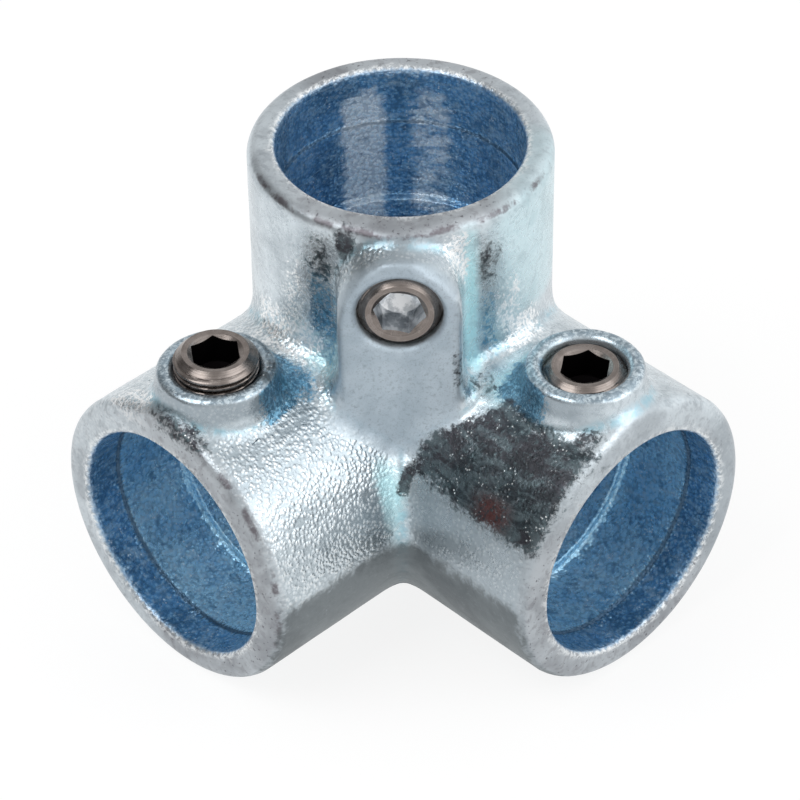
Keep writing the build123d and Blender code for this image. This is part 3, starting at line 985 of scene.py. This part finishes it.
def casting_masks(s, settings):
    """How much each point belongs to the bores, rims, hollow blends, worked faces and rough sides."""
    bore, rim, lip, brink = mouth_masks(s)
    flat, pad_edge, boss_face = face_masks(s)
    seam, far, painted_sheen_streak = bore_masks(s)
    masks = {
        "bore": bore,
        "rim": rim * (1 - bore),
        "lip": lip,
        "brink": brink,
        "hollow": blend_mask(s, settings.side_raise) * (1.0 - bore),
        "flat": flat,
        "boss_face": boss_face,
        "pad_edge": pad_edge,
        "painted_underside_shade": underside_shade_mask(s) * ((1 - bore) * (1 - rim)),
        "seam": seam,
        "far": far * bore,
        "painted_sheen_streak": painted_sheen_streak,
        "pebble": pebble_mask(s, bore, rim, flat),
    }
    for name, patches in PATCHES.items():
        masks[name] = patch_mask(s.place / MM, patches) * (1 - bore)
    for name, extra in (
        ("dull_and_shade", dull_and_shade_mask(s, boss_face)),
        # Painted reflection: a pale cyan band round the upright.
        ("cyan_sheen", 0.34 * ease(np.abs(s.bearing - 112), 40, 22) * s.on_upright),
        ("tarnish", slate_mask(s)),
        ("blue", 0.95 * crescent_mask(s, boss_face)),
    ):
        masks[name] = np.maximum(masks[name], extra * (1 - bore))
    return masks


class FITTING_OT_casting(bpy.types.Operator):
    """Make the galvanised casting"""
    bl_idname = "fitting.casting"
    bl_label = "Make casting"

    def execute(self, context):
        settings = context.scene.fitting_casting
        mesh = refined_copy("casting", settings.facet * (1.0))
        points = rounded_out(read_points(mesh), settings)
        survey = Survey(points, settings)
        masks = casting_masks(survey, settings)
        free = cast_share(survey, masks["bore"])
        points = softened(mesh, points, free, settings.relaxing)
        points = softened(mesh, points, free * masks["pad_edge"], settings.pad_relaxing)
        write_points(mesh, points)
        for name, values in masks.items():
            set_mask(mesh, name, values)
        mesh.shade_smooth()
        mesh = grown(mesh, "casting_skin", galvanise_tree(), {
            "Lump Size": settings.lump_size,
            "Lump Height": settings.lump_height,
            "Run Size": settings.run_size,
            "Run Height": settings.run_height,
            "Seed": settings.seed,
            "Material": galvanised_material(settings),
        })
        off_edges = (masks["seam"] < 0.02) & (masks["lip"] < 0.5)
        mesh = thinned(mesh, settings.most_triangles, off_edges)
        mesh.set_sharp_from_angle(angle=settings.crease)
        shown(mesh, "casting_skin", "casting", ["casting"])
        return {"FINISHED"}


# ---------------------------------------------------------------- set screws

COLUMNS = 132               # points round a screw, the same number for each side of the hexagon
CUP_STEP = 0.16 * MM        # from row to row on the bevel at the cup point, the thread and the crown
THREAD_STEP = 0.105 * MM
CROWN_STEP = 0.12 * MM


def screw_rows(s, corner_turn):
    """The screw's rows of points from the cup's middle round the outside to the key socket's middle."""
    slope = math.tan(s.cone_slope)
    angles = np.arange(COLUMNS) * 2 * math.pi / COLUMNS
    wedge = np.mod(angles - corner_turn, math.pi / 3) - math.pi / 6
    flats = s.key_width / 2 / np.cos(wedge)
    ones = np.ones(COLUMNS)
    rows = []

    def add(radius, height, outside=0.0, socket=0.0):
        rows.append((radius * ones, height * ones, outside, socket))

    for share in np.linspace(0.12, 1.0, 7):
        add(share * s.cup_radius, -s.length + s.cup_depth * (1 - share))
    bevel_top = s.radius - s.cup_radius - s.length
    bevel_low = s.crown_radius - s.radius
    for height in np.arange(-s.length + 0.12 * MM, bevel_top, CUP_STEP):
        add(s.cup_radius + height + s.length, height, 1.0)
    for height in np.arange(bevel_top, bevel_low, THREAD_STEP):
        add(s.radius, height, 1.0)
    for height in np.arange(bevel_low, -0.10 * MM, CROWN_STEP):
        add(s.crown_radius - height, height, 1.0)
    add(s.crown_radius + 0.05 * MM, -0.03 * MM)
    land_radius = s.crown_radius - s.land_width
    fall = math.tan(s.land_slope)
    for share in (0.08, 0.35, 0.65, 0.92, 1.0):
        add(s.crown_radius - share * s.land_width, -share * s.land_width * fall)
    lip = s.land_width * fall
    for share in (0.12, 0.35, 0.6, 0.85, 0.97):
        radius = land_radius * (1 - share) + flats * share
        add(radius, -lip - (land_radius - radius) * slope)
    add(flats, -lip - (land_radius - flats) * slope, 0.0, 0.5)
    add(flats, -lip - (land_radius - flats) * slope - 0.12 * MM, 0.0, 1.0)
    for share in (0.2, 0.45, 0.7, 0.98, 1.0):
        add(flats, -1.6 * MM * (1 - share) - s.key_depth * share, 0.0, 1.0)
    add(s.key_width / 2 * 0.985, -s.key_depth, 0.0, 1.0)
    for share in (0.9, 0.6, 0.3, 0.1):
        radius = s.key_width / 2 * share
        add(radius, -s.key_depth - (s.key_width / 2 - radius) * slope, 0.0, 1.0)
    return angles, rows


def screw_mesh(s, corner_turn, name):
    """A closed screw along Z with its crown ring at the height 0."""
    angles, rows = screw_rows(s, corner_turn)
    points = [(0.0, 0.0, -s.length + s.cup_depth)]
    outside, socket, ring = [0.0], [0.0], [0.0]
    for radius, height, out_share, key_share in rows:
        points += zip(radius * np.cos(angles), radius * np.sin(angles), height)
        outside += [out_share] * COLUMNS
        socket += [key_share] * COLUMNS
        ring += list(radius + 0.5 * height)
    points.append((0.0, 0.0, -s.key_depth - s.key_width / 2 * math.tan(s.cone_slope)))
    outside.append(0.0)
    socket.append(1.0)
    ring.append(0.0)
    faces = []
    last = len(points) - 1
    for column in range(COLUMNS):
        after = (column + 1) % COLUMNS
        faces.append((0, 1 + after, 1 + column))
        top = last - COLUMNS
        faces.append((last, top + column, top + after))
        for row in range(len(rows) - 1):
            start = 1 + row * COLUMNS
            above = start + COLUMNS
            faces.append((start + column, start + after, above + after, above + column))
    mesh = bpy.data.meshes.new(name)
    mesh.from_pydata(points, [], faces)
    set_mask(mesh, "outside", outside)
    set_mask(mesh, "key_socket", socket)
    set_mask(mesh, "ring", ring)
    mesh.shade_smooth()
    return mesh


def screw_place(node, s):
    """Matrix that stands a screw made along Z where its CAD node stands, and its hexagon's turn there."""
    axis = SCREW_AXES[SCREW_BODIES[node]]
    points = [vertex.co for vertex in frame["nodes"][node].data.vertices]
    side = Vector((0, 0, 1)) if abs(axis.z) < 0.5 else Vector((1, 0, 0))
    other = axis.cross(side)
    crown = axis * max(point.dot(axis) for point in points)
    for way in (side, other):
        reach = [point.dot(way) for point in points]
        crown += way * (min(reach) + max(reach)) / 2
    matrix = Matrix.Translation(crown) @ Matrix((side, other, axis)).transposed().to_4x4()
    local = [matrix.inverted() @ point for point in points]
    depths = [p for p in local if abs(p.z + s.key_depth) < 0.02 * MM and p.xy.length > s.key_width / 2]
    corner = max(depths, key=lambda p: p.xy.length)
    turn = math.atan2(corner.y, corner.x)
    return matrix, turn


class FITTING_OT_screws(bpy.types.Operator):
    """Make the three set screws with their threads and key sockets"""
    bl_idname = "fitting.screws"
    bl_label = "Make set screws"

    def execute(self, context):
        settings = context.scene.fitting_screws
        steel = steel_material(settings)
        tree = thread_tree()
        for node in SCREWS:
            matrix, turn = screw_place(node, settings)
            mesh = grown(screw_mesh(settings, turn, node + "_blank"), node + "_turned", tree, {
                "Pitch": settings.pitch,
                "Depth": settings.thread_depth,
                "Crest Radius": settings.radius,
                "Material": steel,
            })
            set_mask(mesh, "painted_socket_shade", np.full(len(mesh.vertices), SOCKET_SHADE[node]))
            mesh.transform(matrix)
            mesh.set_sharp_from_angle(angle=settings.crease)
            shown(mesh, node + "_turned", SCREW_BODIES[node], [node])
        return {"FINISHED"}


# ---------------------------------------------------------------- stage

FLOOR_HALF = 3.0                        # metres
FLOOR_DROP = 0.3 * MM                   # from the fitting's lowest point down to the floor
LAMP_AIM = (0.0, 0.0, -0.03)
KEY_LAMP = (0.7, (0.75, -0.15, 0.95))   # width and place of each lamp
FILL_LAMP = (0.9, (-0.35, 0.95, 0.75))
DARK_SIDE = ((0.719, -0.64, 0.42), 0.50, 0.92)      # heading, and where it starts and is full
BRIGHT_SIDE = ((-0.719, 0.64, 0.45), 0.30, 0.85)
CAMERA_ANGLES = (136.03, 39.7, -0.83)   # degrees: heading, tilt down, and turn about the line of sight
CAMERA_OFFSET = (-0.82, -0.95, 730.63)  # mm in the camera's own axes, from where the tubes' axes meet


def lamp(name, watts, width, place):
    """A square soft lamp that faces the fitting."""
    light = bpy.data.lights.new(name, "AREA")
    light.energy = watts
    light.size = width
    holder = bpy.data.objects.new(name, light)
    holder.location = place
    holder.rotation_euler = (Vector(LAMP_AIM) - Vector(place)).to_track_quat("-Z", "Y").to_euler()
    bpy.context.scene.collection.objects.link(holder)


def room_light(settings):
    """White to the eye; soft light from all round, with one darker side of the room in reflections."""
    world = bpy.data.worlds.new("studio")
    bpy.context.scene.world = world
    world.use_nodes = True
    world.node_tree.nodes.clear()
    w = Wiring(world.node_tree)
    seen = w.node("ShaderNodeLightPath")
    heading = w.node("ShaderNodeTexCoord").outputs["Generated"]
    sides = []
    for side, low, high in (DARK_SIDE, BRIGHT_SIDE):
        towards = w.node("ShaderNodeVectorMath", operation="DOT_PRODUCT")
        w.feed(towards.inputs[0], heading)
        towards.inputs[1].default_value = Vector(side).normalized()
        sides.append(w.step(towards.outputs["Value"], low, high))
    glossy = w.scaled(sides[0], -0.62, 0.80)
    glossy = w.scaled(sides[1], 0.40, glossy)
    level = w.blend(seen.outputs["Is Glossy Ray"], (settings.sky,) * 3, glossy)
    level = w.blend(seen.outputs["Is Camera Ray"], level, (1.0, 1.0, 1.0))
    sky = w.node("ShaderNodeBackground")
    w.feed(sky.inputs["Color"], level)
    w.feed(w.node("ShaderNodeOutputWorld").inputs["Surface"], sky.outputs[0])


def place_camera(settings):
    """Puts the camera where its angles and its offset say, round the point where the axes meet."""
    azimuth, elevation, roll = (math.radians(angle) for angle in CAMERA_ANGLES)
    back = Vector((
        math.sin(azimuth) * math.cos(elevation),
        -math.cos(azimuth) * math.cos(elevation),
        math.sin(elevation),
    ))
    right = Vector((math.cos(azimuth), math.sin(azimuth), 0.0))
    up = back.cross(right)
    across = math.cos(roll) * right + math.sin(roll) * up
    upward = -math.sin(roll) * right + math.cos(roll) * up
    turn = Matrix((across, upward, back)).transposed()
    camera = bpy.data.cameras.new("camera")
    camera.lens = settings.lens
    camera.sensor_width = 36.0
    holder = bpy.data.objects.new("camera", camera)
    place = MEETING_POINT + turn @ (Vector(CAMERA_OFFSET) * MM)
    holder.matrix_world = Matrix.Translation(place) @ turn.to_4x4()
    bpy.context.scene.collection.objects.link(holder)
    bpy.context.scene.camera = holder


class FITTING_OT_stage(bpy.types.Operator):
    """Make the floor, the lamps and the camera"""
    bl_idname = "fitting.stage"
    bl_label = "Make stage"

    def execute(self, context):
        settings = context.scene.fitting_stage
        low = cad_box[0][2] - FLOOR_DROP
        corners = [(x * FLOOR_HALF, y * FLOOR_HALF, low) for x, y in ((-1, -1), (1, -1), (1, 1), (-1, 1))]
        mesh = bpy.data.meshes.new("floor")
        mesh.from_pydata(corners, [], [(0, 1, 2, 3)])
        mesh.materials.append(floor_material(settings))
        floor = bpy.data.objects.new("floor", mesh)
        context.scene.collection.objects.link(floor)
        lamp("key_lamp", settings.key_watts, *KEY_LAMP)
        lamp("fill_lamp", settings.fill_watts, *FILL_LAMP)
        room_light(settings)
        place_camera(settings)
        context.scene.view_settings.view_transform = "Standard"
        return {"FINISHED"}


# ---------------------------------------------------------------- add-on

class FITTING_PT_panel(bpy.types.Panel):
    """Lists the fitting's operators and settings"""
    bl_idname = "FITTING_PT_panel"
    bl_label = "Corner Fitting"
    bl_space_type = "VIEW_3D"
    bl_region_type = "UI"
    bl_category = "Corner Fitting"

    def draw(self, context):
        for operator, group in (
            ("fitting.casting", context.scene.fitting_casting),
            ("fitting.screws", context.scene.fitting_screws),
            ("fitting.stage", context.scene.fitting_stage),
        ):
            box = self.layout.box()
            box.operator(operator)
            for name in group.bl_rna.properties.keys():
                if name not in {"rna_type", "name"}:
                    box.prop(group, name)


CLASSES = (
    CastingSettings,
    ScrewSettings,
    StageSettings,
    FITTING_OT_casting,
    FITTING_OT_screws,
    FITTING_OT_stage,
    FITTING_PT_panel,
)


def register():
    for entry in CLASSES:
        bpy.utils.register_class(entry)
    bpy.types.Scene.fitting_casting = bpy.props.PointerProperty(type=CastingSettings)
    bpy.types.Scene.fitting_screws = bpy.props.PointerProperty(type=ScrewSettings)
    bpy.types.Scene.fitting_stage = bpy.props.PointerProperty(type=StageSettings)


def unregister():
    del bpy.types.Scene.fitting_stage
    del bpy.types.Scene.fitting_screws
    del bpy.types.Scene.fitting_casting
    for entry in reversed(CLASSES):
        bpy.utils.unregister_class(entry)


def main():
    register()
    bpy.ops.fitting.casting()
    bpy.ops.fitting.screws()
    bpy.ops.fitting.stage()


if __name__ == "__main__":
    main()
